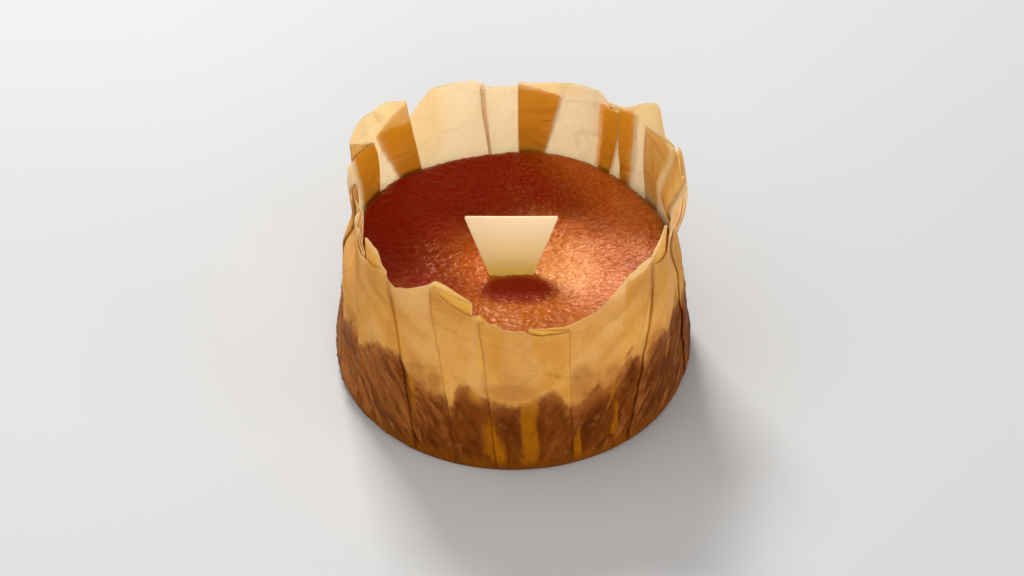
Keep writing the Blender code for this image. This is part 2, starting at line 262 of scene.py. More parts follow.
def pleat_columns(before, pleat):
    """One fold's columns along the sheet.

    The rows are the angle at the reference height, the layer, the shares of the spread,
    of the ramp and of the bend's bulge, the edge height, the foot's angle, the heights of
    the three layers' edges there, the amber, and whether the sheet is turned over there,
    lies behind another layer and is at a bend. The sheet arrives on the layer of the
    further edge, bends back across the middle and leaves on the other layer.
    """
    near, far = min(pleat.outer, pleat.inner), max(pleat.outer, pleat.inner)
    side = 1.0 if pleat.outer > pleat.inner else -1.0
    count = max(4, round((far - near) / COLUMN_STEP) + 1)
    middle_count = max(3, round((far - near) / MIDDLE_STEP) + 1)

    def layer(share, layers, spread, ramp, bulge, own_rim, turned, behind, bend):
        across = near + (far - near) * share
        arriving, leaving = rim_height(before, across), rim_height(pleat, across)
        high, low = rim_height(before, np.array([far])), rim_height(pleat, np.array([near]))
        rims = (arriving, high + (low - high) * (1 - share), leaving)
        rows = (across, layers, spread, ramp, bulge, rims[own_rim],
                pleat.foot, *rims, pleat.amber, turned, behind, bend)
        return np.stack(np.broadcast_arrays(*rows))

    share = np.linspace(0, 1, count)
    back = np.linspace(1, 0, middle_count)
    one = np.ones(1)
    inside_first, inside_last = side < 0, side > 0
    return np.concatenate([
        layer(share, side, share - 1, -1, 0, 0, 0, inside_first, share == 1),
        layer(one, side * (1 + MIDDLE_SLANT) / 2, 0, -0.75, 1, 0, 0, inside_first, 1),
        layer(back, MIDDLE_SLANT * side * (2 * back - 1), 0, 0.5 - back, 0, 1, 1, 1, 0),
        layer(0 * one, -side * (1 + MIDDLE_SLANT) / 2, 0, 0.75, -1, 2, 0, inside_last, 1),
        layer(share, -side, share, 1, 0, 2, 0, inside_last, share == 0),
    ], axis=1)


def panel_columns(pleat, after):
    """Columns of the single panel between two folds, easing from layer to layer."""
    start, end = max(pleat.outer, pleat.inner), min(after.outer, after.inner)
    count = max(1, round((end - start) / COLUMN_STEP) - 1)
    share = np.arange(1, count + 1) / (count + 1)
    leave = -1.0 if pleat.outer > pleat.inner else 1.0
    arrive = 1.0 if after.outer > after.inner else -1.0
    angles = start + (end - start) * share
    first_foot = pleat.foot + PLEAT_SPREAD + PLEAT_RAMP
    last_foot = after.foot - PLEAT_SPREAD - PLEAT_RAMP
    feet = first_foot + (last_foot - first_foot) * share
    rims = rim_height(pleat, angles)
    rows = (angles, leave + (arrive - leave) * smooth(share), 0, 0, 0, rims, feet,
            rims, 0, 0, 0, 0, 0, 0)
    return np.stack(np.broadcast_arrays(*rows))


def sheet_columns():
    """All columns along the sheet once round the cake."""
    before = [shifted(PLEATS[-1], -360), *PLEATS[:-1]]
    after = [*PLEATS[1:], shifted(PLEATS[0], 360)]
    parts = []
    for previous, pleat, following in zip(before, PLEATS, after):
        parts += [pleat_columns(previous, pleat), panel_columns(pleat, following)]
    return np.concatenate(parts, axis=1)


def sheet_surface():
    """The sheet's middle surface as (row, column) points, and what its finish needs there.

    Rows share their heights up to FREE_START and then divide the way to the free edge.
    The layers step apart over a ramp at the foot, and the fold edges draw apart with
    height. A fold's bend bulges by half the way from layer to layer.
    """
    columns = sheet_columns()
    angles, layers, spreads, ramps, bulges, rims, feet = columns[:7]
    layer_rims, (amber, over, behind, bend) = columns[7:10], columns[10:]
    shared = np.concatenate([FOOT_ROWS, np.arange(FOOT_ROWS[-1] + ROW_STEP, FREE_START, ROW_STEP)])
    shared = np.repeat(shared[:, None], len(angles), axis=1)
    rise = np.linspace(0, 1, FREE_ROWS + 1)[:, None]
    height = np.concatenate([shared, FREE_START + (rims - FREE_START) * rise])
    travel = np.maximum(height - PLEAT_START, 0) / (FOLD_REFERENCE - PLEAT_START)
    sway = np.interp(angles, *zip(*SWAYS), period=360) * np.maximum(height - FOLD_REFERENCE, 0)
    ramp = PLEAT_RAMP * np.clip(1 - height / PLEAT_START, 0, 1)
    spread = PLEAT_SPREAD * np.clip((SPREAD_END - height) / (SPREAD_END - PLEAT_START), 0, 1)
    low, high = PITCH_OPENS
    pitch = PITCH_LOW + (PITCH_HIGH - PITCH_LOW) * smooth((height - low) / (high - low))
    pitch = pitch * smooth(height / PLEAT_OPENS)
    angle = feet + (angles - feet) * np.minimum(travel, 1) + sway
    angle = angle + spreads * spread + ramps * ramp
    angle = angle + bulges * np.degrees(pitch / 2 / NOMINAL_RADIUS)
    radius = wall_radius(angle, height) - dents(angle, height) + pitch * layers
    radius = radius + creases(angle, height)
    count = sum(smooth((edge - height) / RIM_SOFT + 0.5) for edge in layer_rims)
    wrapped = (angle + 180) % 360 - 180
    marks = {
        "tide": tide_height(angle) - height,
        "streak": streak_share(wrapped, height),
        "haze": patch_share(HAZES, wrapped, height),
        "shade_tint": patch_share(SHADE_TINTS, wrapped, height),
        "layers": 1 + np.maximum(count - 1, 0) * amber,
        "rim": rims - height,
        "turned": over + 0 * height,
        "behind": behind + 0 * height,
        "bend": bend + 0 * height,
        "grain": ring_points(NOMINAL_RADIUS, leaning(angle, height), height * GRAIN_LENGTH),
    }
    return ring_points(radius, angle, height), marks


def streak_share(angle, height):
    """1 near a streak's line, falling to 0 at about twice its half width from it."""
    found = np.zeros_like(angle)
    for top_angle, top, low_angle, low, half in STREAKS:
        down = np.clip((top - height) / (top - low), 0, 1)
        aside = abs(angle - top_angle - (low_angle - top_angle) * down)
        within = smooth((top + STREAK_END / 2 - height) / STREAK_END)
        within = within * smooth((height - low + STREAK_END / 2) / STREAK_END)
        found = np.maximum(found, within * smooth(1.5 - aside / half / 1.4))
    return found


def patch_share(patches, angle, height):
    """1 over the middle of an oval patch, falling to 0 a third past its outline."""
    found = np.zeros_like(angle)
    for middle, level, half, tall in patches:
        aside = (angle - middle + 180) % 360 - 180
        away = np.hypot(aside / half, (height - level) / tall)
        found = np.maximum(found, smooth(1.6 - 1.2 * away))
    return found


def face_of(rows, offset):
    """Rows moved sideways in plan, each point along the mitre of its two neighbours."""
    ahead = np.roll(rows, -1, axis=1)[..., :2] - rows[..., :2]
    ahead /= np.linalg.norm(ahead, axis=-1, keepdims=True)
    outward = np.stack([ahead[..., 1], -ahead[..., 0]], -1)
    mitre = outward + np.roll(outward, 1, axis=1)
    mitre /= np.maximum(np.linalg.norm(mitre, axis=-1, keepdims=True), 1e-6)
    reach = offset / np.maximum(np.sum(mitre * outward, axis=-1), MITRE_LIMIT)
    moved = rows.copy()
    moved[..., :2] += mitre * reach[..., None]
    return moved


def grid_faces(first, rings, count):
    """Quads between rings of equal count that follow each other in the vertex list."""
    low = first + count * np.arange(rings - 1)[:, None]
    step = np.arange(count)
    onward = (step + 1) % count
    quads = np.stack([low + step, low + onward, low + count + onward, low + count + step], -1)
    return quads.reshape(-1, 4).tolist()


def fan_faces(ring, middle, upward):
    """Triangles that close a ring round its middle point, facing up or down."""
    onward = np.roll(ring, -1)
    pair = (ring, onward) if upward else (onward, ring)
    return np.stack([*pair, np.full(len(ring), middle)], -1).tolist()


def make_piece(name, points, faces, marks, finish):
    """A smooth mesh object from points in millimetres, with a value per point for each mark."""
    mesh = bpy.data.meshes.new(name)
    mesh.from_pydata((points * MM).tolist(), [], faces)
    for mark, values in marks.items():
        plain = values.ndim == 1
        attribute = mesh.attributes.new(mark, "FLOAT" if plain else "FLOAT_VECTOR", "POINT")
        numbers = values.astype(np.float32).ravel()
        attribute.data.foreach_set("value" if plain else "vector", numbers)
    mesh.materials.append(finish)
    mesh.shade_smooth()
    piece = bpy.data.objects.new(name, mesh)
    bpy.context.scene.collection.objects.link(piece)
    return piece


class Value:
    """A node's output on its way through a finish. Sums on it add Math nodes."""

    def __init__(self, finish, socket):
        self.finish = finish
        self.socket = socket

    def math(self, operation, *numbers):
        inputs = dict(enumerate(numbers))
        return self.finish.node("Math", {"operation": operation}, inputs)

    def __add__(self, other):
        return self.math("ADD", self, other)

    def __sub__(self, other):
        return self.math("SUBTRACT", self, other)

    def __rsub__(self, other):
        return self.math("SUBTRACT", other, self)

    def __mul__(self, other):
        return self.math("MULTIPLY", self, other)

    def __truediv__(self, other):
        return self.math("DIVIDE", self, other)

    def __pow__(self, other):
        return self.math("POWER", self, other)

    __radd__ = __add__
    __rmul__ = __mul__


class Finish:
    """A material made node by node round its Principled BSDF."""

    def __init__(self, name):
        self.material = bpy.data.materials.new(name)
        self.material.use_nodes = True
        self.tree = self.material.node_tree
        self.shader = self.tree.nodes["Principled BSDF"]
        self.output = self.tree.nodes["Material Output"]
        self.place = self.node("TexCoord", output="Object")

    def feed(self, socket, value):
        """Links a value to a socket, or sets it."""
        if isinstance(value, Value):
            self.tree.links.new(value.socket, socket)
        else:
            socket.default_value = value

    def node(self, kind, settings=None, inputs=None, output=0):
        """A node of one type: its settings first, then the values or links of its sockets."""
        made = self.tree.nodes.new("ShaderNode" + kind)
        for name, value in (settings or {}).items():
            setattr(made, name, value)
        for name, value in (inputs or {}).items():
            self.feed(made.inputs[name], value)
        return Value(self, made.outputs[output])

    def set(self, **values):
        """Sets or links the shader's own sockets, named with _ for a space."""
        for name, value in values.items():
            self.feed(self.shader.inputs[name.replace("_", " ")], value)

    def mark(self, name, output="Fac"):
        """The value that a piece carries at each point under this name."""
        return self.node("Attribute", {"attribute_name": name}, output=output)

    def axes(self):
        """The place on the piece as three numbers, in millimetres."""
        scaled = self.node("VectorMath", {"operation": "SCALE"}, {0: self.place, "Scale": 1 / MM})
        parts = self.node("SeparateXYZ", inputs={0: scaled}).socket.node
        return [Value(self, socket) for socket in parts.outputs]

    def noise(self, cell, detail=3, rough=0.55, vector=None, twist=0.0):
        """Noise from 0 to 1 with this cell size in millimetres."""
        scale = 1 / cell if vector else 1 / cell / MM
        return self.node("TexNoise", inputs={
            "Vector": vector or self.place, "Scale": scale, "Detail": detail,
            "Roughness": rough, "Distortion": twist})

    def ease(self, value, start, end):
        """0 below start, 1 above end, eased between. It falls if start is the higher."""
        low, high, first, last = (start, end, 0, 1) if start < end else (end, start, 1, 0)
        return self.node("MapRange", {"interpolation_type": "SMOOTHSTEP"}, {
            "Value": value, "From Min": low, "From Max": high, "To Min": first, "To Max": last})

    def distance(self, x, y, middle, reach):
        """How far a place is from the middle, in shares of the reach each way."""
        across, along = (x - middle[0]) / reach[0], (y - middle[1]) / reach[1]
        return (across * across + along * along) ** 0.5

    def close(self, value, middle, width):
        """1 where the value is at the middle, eased to 0 this far to both sides of it."""
        away = self.node("Math", {"operation": "ABSOLUTE"}, {0: value - middle})
        return self.ease(away, width, 0.0)

    def mix(self, share, first, second):
        """The first colour going over into the second by share."""
        made = self.tree.nodes.new("ShaderNodeMix")
        made.data_type = "RGBA"
        for socket, value in ((0, share), (6, first), (7, second)):
            self.feed(made.inputs[socket], value if isinstance(value, (Value, float)) else (*value, 1))
        return Value(self, made.outputs[2])

    def bump(self, height, distance, normal=None):
        """A normal from a height of 0 to 1 that stands for this many millimetres."""
        inputs = {"Height": height, "Distance": distance * MM, "Strength": 1.0}
        if normal:
            inputs["Normal"] = normal
        return self.node("Bump", inputs=inputs)


PAPER_TAN = (0.57, 0.25, 0.050)
PAPER_PALE = (0.69, 0.36, 0.105)
PAPER_INSIDE = (0.89, 0.76, 0.55)
PAPER_AMBER_GLOW = (0.76, 0.31, 0.005)
INSIDE_SHADE_TAN = (0.83, 0.54, 0.12)
BETWEEN_GOLD = (0.78, 0.40, 0.045)
EDGE_TAN = (0.56, 0.29, 0.07)
BROWN = (0.150, 0.035, 0.0035)
BROWN_LIGHT_AND_HIGHLIGHT = (0.35, 0.115, 0.022)
BROWN_DARK_AND_SHADE = (0.070, 0.013, 0.001)
WRINKLE_HIGHLIGHT_TAN = (0.40, 0.15, 0.04)
FOLD_SHADE = (0.10, 0.014, 0.001)
FOLD_SHADE_TAN = (0.36, 0.13, 0.020)
SOAKED_YELLOW = (0.33, 0.105, 0.001)
SOAKED_TAN = (0.47, 0.185, 0.022)
FOOT_AMBER = (0.18, 0.048, 0.0005)
LIGHT_THROUGH = (1.0, 0.92, 0.70)
FACET_CELL = 17              # size of the flat facets that the sheet is crumpled into


def paper_finish():
    """Golden baking paper: tan, with a painted amber glow in layers and painted shade and highlights
    in places, browned and oily below the tide line.
    """
    finish = Finish("Baking paper")
    x, y, height = finish.axes()
    cloudy = finish.noise(11, 5, 0.6)
    speckle = finish.noise(1.3, 5, 0.7)
    grain_place = finish.mark("grain", "Vector")
    grain = finish.noise(4.6, 3, 0.5, grain_place, 0.6)
    coarse = finish.noise(7, 4, 0.55, grain_place, 0.5)
    blotch = finish.noise(5, 4, 0.6, None, 0.6)
    wrinkle = finish.noise(8.5, 2, 0.5, grain_place, 0.9)
    kink = finish.noise(13, 3, 0.5, None, 0.7)
    facets = finish.node("TexVoronoi", {"feature": "DISTANCE_TO_EDGE"},
                         {"Vector": finish.place, "Scale": 1 / FACET_CELL / MM})
    crease_shade = finish.ease(facets, 0.025, 0.0) * finish.ease(cloudy, 0.45, 0.62)

    mottle = finish.ease(cloudy * 0.5 + coarse * 0.5, 0.37, 0.62)
    paper = finish.mix(mottle, PAPER_TAN, PAPER_PALE)
    paper = finish.mix(finish.ease(speckle, 0.55, 0.3) * 0.35, paper, PAPER_TAN)
    inner = finish.mark("turned")
    upper = finish.ease(height, 36, 42)
    pale = finish.mix(finish.ease(cloudy, 0.25, 0.75) * 0.3, PAPER_INSIDE, PAPER_PALE)
    # painted shade: tan patches on the inner face
    pale = finish.mix(finish.mark("shade_tint") * (0.6 + cloudy * 0.4), pale, INSIDE_SHADE_TAN)
    paper = finish.mix(inner * upper, paper, pale)
    # painted glow: where a fold stacks three layers they show amber with light through them, stronger
    # on the inner face
    layered = finish.ease(finish.mark("layers") + (cloudy - 0.5) * 0.7, 1.35, 2.9)
    paper = finish.mix(layered * (inner * 0.66 + 0.32), paper, PAPER_AMBER_GLOW)
    between = finish.mark("behind") * (1 - inner) * upper
    paper = finish.mix(between * 0.9, paper, BETWEEN_GOLD)
    paper = finish.mix(finish.ease(finish.mark("rim"), 0.45, 0.0) * 0.45, paper, EDGE_TAN)
    # painted shade along the edges of the crumpled facets
    paper = finish.mix(crease_shade * 0.22, paper, PAPER_TAN)

    depth = finish.mark("tide") + (grain - 0.5) * 5 + (coarse - 0.5) * 8 + (blotch - 0.5) * 9
    streak = finish.ease(finish.mark("streak") + (blotch - 0.5) * 0.6, 0.25, 0.8)
    soaked = finish.ease(depth, -2.0, 2.2)
    haze = finish.ease(finish.mark("haze") + (coarse - 0.5) * 1.4, 0.15, 1.0) * 0.5
    brown = finish.mix(finish.ease(depth, 0, 8), BROWN_LIGHT_AND_HIGHLIGHT, BROWN)
    brown = finish.mix(finish.ease(x, -20, -52) * 0.7, brown, BROWN_LIGHT_AND_HIGHLIGHT)
    brown = finish.mix(finish.ease(grain, 0.50, 0.34) * 0.6, brown, BROWN_DARK_AND_SHADE)
    brown = finish.mix(finish.ease(coarse, 0.52, 0.34) * 0.5, brown, BROWN_DARK_AND_SHADE)
    aside = finish.ease(x * x, 60, 900)
    # painted highlights on the grain's ridges, more at the sides
    brown = finish.mix(finish.ease(grain, 0.56, 0.70) * (0.15 + aside * 0.3), brown, BROWN_LIGHT_AND_HIGHLIGHT)
    brown = finish.mix(finish.ease(blotch, 0.55, 0.75) * 0.35, brown, BROWN_LIGHT_AND_HIGHLIGHT)
    broken = finish.ease(blotch, 0.42, 0.58) * (0.15 + aside * 0.85)
    # painted highlight and painted shade on the two sides of each wrinkle
    brown = finish.mix(finish.close(wrinkle, 0.54, 0.05) * broken * 0.35, brown, WRINKLE_HIGHLIGHT_TAN)
    brown = finish.mix(finish.close(wrinkle, 0.46, 0.06) * broken * 0.6, brown, BROWN_DARK_AND_SHADE)
    yellow = finish.mix(finish.ease(height, 22, 34), SOAKED_YELLOW, SOAKED_TAN)
    colour = finish.mix(haze, paper, BROWN_LIGHT_AND_HIGHLIGHT)
    colour = finish.mix(soaked, colour, finish.mix(streak * 0.75, brown, yellow))
    foot = finish.ease(height + (blotch - 0.5) * 8, 7, 2)
    colour = finish.mix(foot * 0.75, colour, FOOT_AMBER)
    # painted shade along the fold bends: tan on the outer face above the tide, dark in the soaked part
    line = finish.ease(finish.mark("bend"), 0.3, 0.95)
    colour = finish.mix(line * (1 - inner) * 0.28, colour, finish.mix(soaked, FOLD_SHADE_TAN, FOLD_SHADE))
    colour = finish.mix(line * soaked * 0.7, colour, FOLD_SHADE)

    covered = finish.node("Math", {"operation": "MAXIMUM"}, {0: soaked, 1: foot})
    relief = finish.bump(finish.noise(1.6, 4, 0.6, None, 0.4), 0.12)
    relief = finish.bump(kink, 1.7, relief)
    relief = finish.bump(finish.ease(facets, 0.0, 0.12), 0.35, relief)
    relief = finish.bump((wrinkle - 0.5) * covered, 2.6, relief)
    relief = finish.bump((grain - 0.5) * covered, 1.2, relief)
    finish.set(Base_Color=colour, Roughness=0.6 - covered * 0.12, Normal=relief)
    finish.set(Specular_IOR_Level=0.03, Specular_Tint=(1.0, 0.75, 0.45, 1))
    through = finish.node("BsdfTranslucent", inputs={"Color": (*LIGHT_THROUGH, 1), "Normal": relief})
    share = (1 - covered * 0.92) * (0.14 + finish.ease(height + y * 0.4, 30, 62) * 0.44)
    share = share * (1 - layered * inner * 0.35)
    sides = finish.node("MixShader", inputs={0: share, 2: through})
    finish.tree.links.new(finish.shader.outputs[0], sides.socket.node.inputs[1])
    finish.tree.links.new(sides.socket, finish.output.inputs["Surface"])
    return finish.material


def make_paper():
    """The closed sheet: up its outer face, over the free edge, down inside and over its floor."""
    middle, marks = sheet_surface()
    outside, inside = face_of(middle, SHEET / 2), face_of(middle, -SHEET / 2)[::-1]
    inside[-1, :, 2] = SHEET
    rings = np.concatenate([outside, inside])
    total, count = rings.shape[:2]
    poles = np.array([[0, 0, 0], [0, 0, SHEET]])
    points = np.concatenate([rings.reshape(-1, 3), poles])
    faces = grid_faces(0, total, count)
    faces += fan_faces(np.arange(count), total * count, upward=False)
    faces += fan_faces(np.arange(count) + (total - 1) * count, total * count + 1, upward=True)
    carried = {}
    for mark, values in marks.items():
        carried[mark] = np.concatenate([*values, *values[::-1], values[0, :2]])
    # The inner face is turned where the outer one isn't.
    inner = carried["turned"][len(middle) * count:]
    inner[:] = 1 - inner
    return make_piece("paper", points, faces, carried, paper_finish())


paper = make_paper()
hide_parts("baking_paper")
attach(paper, "root")

# Cheesecake
# One soft cake baked in the paper: a skin of dark caramel, wrinkled like leather where
# it rose and sank again, over a raised shoulder and a hollow middle.
RIM_HEIGHT = 39.4            # where the skin reaches its full width
RIM_RADIUS = 56.4            # the wall's at about that height
CAKE_PROFILE = (             # share of the top radius, height, share of the unevenness
    (0.00, 35.6, 0.00), (0.10, 35.6, 0.00), (0.22, 35.8, 0.02), (0.35, 36.4, 0.10),
    (0.48, 37.4, 0.25), (0.60, 38.6, 0.45), (0.71, 40.0, 0.65), (0.81, 41.3, 0.85),
    (0.89, 42.2, 1.00), (0.945, 42.4, 1.00), (0.980, 41.4, 0.95), (1.000, RIM_HEIGHT, 0.90),
    (1.000, 36.0, 0.50), (0.997, 33.0, 0.00),
)
CAKE_CLEAR = 0.75            # from the wall's middle radius in to the cake's side
CAKE_FLOOR = 0.75            # height of the cake's flat foot
SIDE_ROWS = ((30, 0.4), (24, 0.5), (17, 0.5), (10, 0.5), (5, 0.5), (2.6, 0.8), (1.2, 1.6),
             (0.75, 3.0))    # heights, and how much further in
GRID = 236                   # cells each way over the skin
SIDE_SHARE = 1.02            # what the side carries in place of its share of the radius
SLIT_DEPTH = 4.6
SLIT_HALF = 0.5              # half its width, and how far it runs past the card's edges
SLIT_END = 0.3
DENT_DEPTH = 0.2             # of the skin round the slit, and its reach
DENT_REACH = 1.5
CARD_PLACE = (-0.4, -3.0, 34.8)   # its middle, where it enters the skin
CARD_LEAN = 20               # degrees back from upright
CARD_SURFACE_WIDTH = 14.4    # where it enters the skin


def flowing(value, places, heights):
    """A smooth line through points: cubic pieces whose slopes are those of the neighbours."""
    places, heights = np.array(places, float), np.array(heights, float)
    slopes = np.gradient(heights, places)
    first = np.clip(np.searchsorted(places, value, side="right") - 1, 0, len(places) - 2)
    width = places[first + 1] - places[first]
    share = (value - places[first]) / width
    ease = smooth(share)
    start = share * (1 - share) ** 2 * width * slopes[first]
    end = share ** 2 * (1 - share) * width * slopes[first + 1]
    return heights[first] * (1 - ease) + heights[first + 1] * ease + start - end


def crest_unevenness(angle):
    """How far the shoulder stands off its mean: a swell at the left of the back, and waves."""
    turn = np.radians(angle)
    rise = 3.0 * np.exp(-((np.mod(angle, 360) - 241) / 23) ** 2)
    return rise - 0.3 + 0.6 * np.sin(2 * turn + 2.2) + 0.5 * np.sin(5 * turn + 0.4)


def skin_relief(x, y, share):
    """Height of the skin's swells and wrinkles, in millimetres.

    Shallow sines make the swells. The wrinkles are two ridged noises and a fine plain one,
    longer across than from front to back, on bent axes, and stronger near the shoulder.
    """
    swells = 0.35 * np.sin(0.16 * x + 0.11 * y + 0.7) * np.sin(0.13 * y - 0.07 * x + 1.9)
    bent_x = x + 1.4 * lattice_noise(x / 9, y / 9, 21)
    bent_y = y + 1.4 * lattice_noise(x / 9 + 40, y / 9, 22)
    wide = 1 - abs(lattice_noise(bent_x / 5.5, bent_y / 3.6, 23))
    fine = 1 - abs(lattice_noise(bent_x / 2.1, bent_y / 1.4, 24))
    tiny = lattice_noise(bent_x / 1.2, bent_y / 1.0, 25)
    leathery = 0.24 * wide ** 3 + 0.22 * fine ** 2 + 0.07 * tiny
    rim = smooth((share - 0.72) / 0.2)
    patch = 0.75 + 0.35 * lattice_noise(x / 17, y / 17, 26)
    fade = 1 - smooth((share - 0.97) / 0.03)
    return swells * (1 - np.minimum(share, 1) ** 4) + leathery * (patch + 0.5 * rim) * fade


def skin_grid():
    """The skin as a square grid drawn onto a disc.

    The larger of the two grid numbers is the way out along the profile, the other the
    angle within its quarter turn, so all cells are nearly of one size.
    """
    a, b = np.meshgrid(np.linspace(-1, 1, GRID + 1), np.linspace(-1, 1, GRID + 1), indexing="ij")
    wide = abs(a) > abs(b)
    out = np.where(wide, a, b)
    other = np.where(wide, b, a) / np.where(out == 0, 1, out)
    quarter = np.where(wide, np.pi / 4 * other, np.pi / 2 - np.pi / 4 * other)
    east, north = out * np.cos(quarter), out * np.sin(quarter)
    angle = np.degrees(np.arctan2(east, -north))
    shares, heights, uneven = np.array(CAKE_PROFILE).T
    steps = np.hypot(np.diff(shares * RIM_RADIUS), np.diff(heights))
    reached = np.concatenate([[0], np.cumsum(steps)])
    way = abs(out) * reached[-1]
    share = np.interp(way, reached, shares)
    height = flowing(way, reached, heights) + flowing(way, reached, uneven) * crest_unevenness(angle)
    top_radius = wall_radius(angle, RIM_HEIGHT) - CAKE_CLEAR
    points = ring_points(share * top_radius, angle, height)
    points[..., 2] += skin_relief(points[..., 0], points[..., 1], share)
    return points, share


def press_slit(points):
    """Pushes the skin down where the card's foot stands in it.

    A point within SLIT_HALF of the card's plane moves by SLIT_DEPTH along the card's slope.
    Those round it move by a bell curve of their distance, which leaves a shallow dent.
    """
    lean = np.radians(CARD_LEAN)
    down = np.array([0, -np.sin(lean), -np.cos(lean)])
    across = np.array([0, np.cos(lean), -np.sin(lean)])
    offset = points - np.array(CARD_PLACE)
    aside = abs(offset @ across)
    beyond = np.maximum(abs(offset[..., 0]) - CARD_SURFACE_WIDTH / 2, 0)
    cut = (aside < SLIT_HALF) & (beyond < SLIT_END)
    dent = DENT_DEPTH * np.exp(-(np.hypot(aside, beyond) / DENT_REACH) ** 2)
    return points + down * np.where(cut, SLIT_DEPTH, dent)[..., None]


SKIN_DARK_AND_SHADE = (0.20, 0.0040, 0.0001)
SKIN_RED = (0.220, 0.033, 0.0006)
SKIN_WARM = (0.37, 0.068, 0.006)
SKIN_GOLD_HIGHLIGHT = (0.54, 0.195, 0.046)
SKIN_RIM = (0.28, 0.090, 0.004)
SKIN_FRONT = (0.34, 0.090, 0.003)
SKIN_RIDGE_GLINT = (0.40, 0.120, 0.040)
SIDE_BROWN = (0.34, 0.10, 0.005)
HIGHLIGHT_PLACE = (13, -1)        # middle of the paler part with its painted highlight, and its reach each way
HIGHLIGHT_REACH = (28, 22)
SHADED_PLACE = (2.0, -11.5)  # the card's painted shadow, a darker patch before it
SHADED_REACH = (12.5, 8.0)
GROOVE_NARROW = 1.7          # how much narrower the grooves are from front to back


def skin_finish():
    """Caramel skin: dark red at the left and back, its own caramel deepened by painted shade, a
    painted shadow before the card, and orange with a painted highlight right of the middle.
    """
    finish = Finish("Baked skin")
    x, y, _ = finish.axes()
    cloudy = finish.noise(14, 4, 0.6)
    drawn = finish.node("VectorMath", {"operation": "MULTIPLY"},
                        {0: finish.place, 1: (1 / MM, GROOVE_NARROW / MM, 1 / MM)})
    fine = finish.noise(1.25, 3, 0.6, drawn, 0.5)
    grooves = finish.noise(1.15, 1, 0.5, drawn, 0.5)
    leather = finish.noise(3.0, 1, 0.5, drawn, 0.6)
    away = finish.distance(x, y, HIGHLIGHT_PLACE, HIGHLIGHT_REACH)
    # the card's painted shadow
    shaded = finish.ease(finish.distance(x, y, SHADED_PLACE, SHADED_REACH), 1.25, 0.5)
    # painted highlight right of the middle and on the back right shoulder; the lower tone at the left
    # and back is partly painted shade, and the card's painted shadow is taken off
    tone = finish.ease(away + (cloudy - 0.5) * 1.1, 1.95, 0.0) + (fine - 0.5) * 0.55
    tone = tone + finish.ease(x + y, 42, 72) * 0.60 - shaded * 0.9
    colour = finish.mix(finish.ease(tone, 0.0, 0.34), SKIN_DARK_AND_SHADE, SKIN_RED)
    colour = finish.mix(finish.ease(tone, 0.26, 0.60), colour, SKIN_WARM)
    colour = finish.mix(finish.ease(tone, 0.54, 1.0), colour, SKIN_GOLD_HIGHLIGHT)
    colour = finish.mix(finish.ease(y + (cloudy - 0.5) * 30, -6, -32) * 0.7, colour, SKIN_FRONT)
    # painted shade in the grooves, and painted glints on the ridges, more towards the right
    colour = finish.mix(finish.ease(grooves, 0.48, 0.34) * 0.45, colour, SKIN_DARK_AND_SHADE)
    ridges = 0.12 + finish.ease(x, -30, 10) * 0.22
    colour = finish.mix(finish.ease(grooves, 0.52, 0.74) * ridges, colour, SKIN_RIDGE_GLINT)
    # painted shadow of the card
    colour = finish.mix(shaded * 0.92, colour, SKIN_DARK_AND_SHADE)
    share = finish.mark("share")
    rim = finish.ease(share + (cloudy - 0.5) * 0.08 + x / 2500, 0.91, 1.0)
    colour = finish.mix(rim * 0.8, colour, SKIN_RIM)
    colour = finish.mix(finish.ease(share, 1.0, SIDE_SHARE), colour, SIDE_BROWN)
    relief = finish.bump(leather, 0.34)
    relief = finish.bump(grooves, 0.17, relief)
    finish.set(Base_Color=colour, Roughness=0.29 + (cloudy - 0.5) * 0.15, Normal=relief)
    finish.set(Specular_IOR_Level=0.22, Specular_Tint=(1.0, 0.38, 0.06, 1))
    return finish.material


def patch_faces(columns, rows):
    """Quads of a grid of points numbered column by column, and its border once round."""
    number = np.arange(columns * rows).reshape(columns, rows)
    quads = np.stack([number[:-1, :-1], number[1:, :-1], number[1:, 1:], number[:-1, 1:]], -1)
    border = np.concatenate([number[:-1, 0], number[-1, :-1], number[:0:-1, -1], number[0, :0:-1]])
    return quads.reshape(-1, 4), border


def band_faces(near, far):
    """Quads between two closed rings of equal count."""
    return np.stack([near, far, np.roll(far, -1), np.roll(near, -1)], -1).tolist()


def make_cake():
    """The cake: the skin's grid, rings down the side from its outer cells, and a flat floor."""
    skin, share = skin_grid()
    skin = press_slit(skin).reshape(-1, 3)
    quads, border = patch_faces(GRID + 1, GRID + 1)
    edge = skin[border]
    angle = np.degrees(np.arctan2(edge[:, 0], -edge[:, 1]))
    rings = [ring_points(wall_radius(angle, height) - CAKE_CLEAR - inset, angle, height)
             for height, inset in SIDE_ROWS]
    points = np.concatenate([skin, *rings, [[0, 0, CAKE_FLOOR]]])
    first = len(skin)
    below = first + np.arange(len(border))
    faces = quads.tolist() + band_faces(border, below)
    side = np.array(grid_faces(first, len(rings), len(border)))
    faces += side[:, ::-1].tolist()
    last = below + (len(rings) - 1) * len(border)
    faces += fan_faces(last, len(points) - 1, upward=False)
    shares = np.concatenate([share.ravel(), np.full(len(points) - first, SIDE_SHARE)])
    return make_piece("cake", points, faces, {"share": shares}, skin_finish())


cake = make_cake()
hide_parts("cheesecake")
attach(cake, "root")

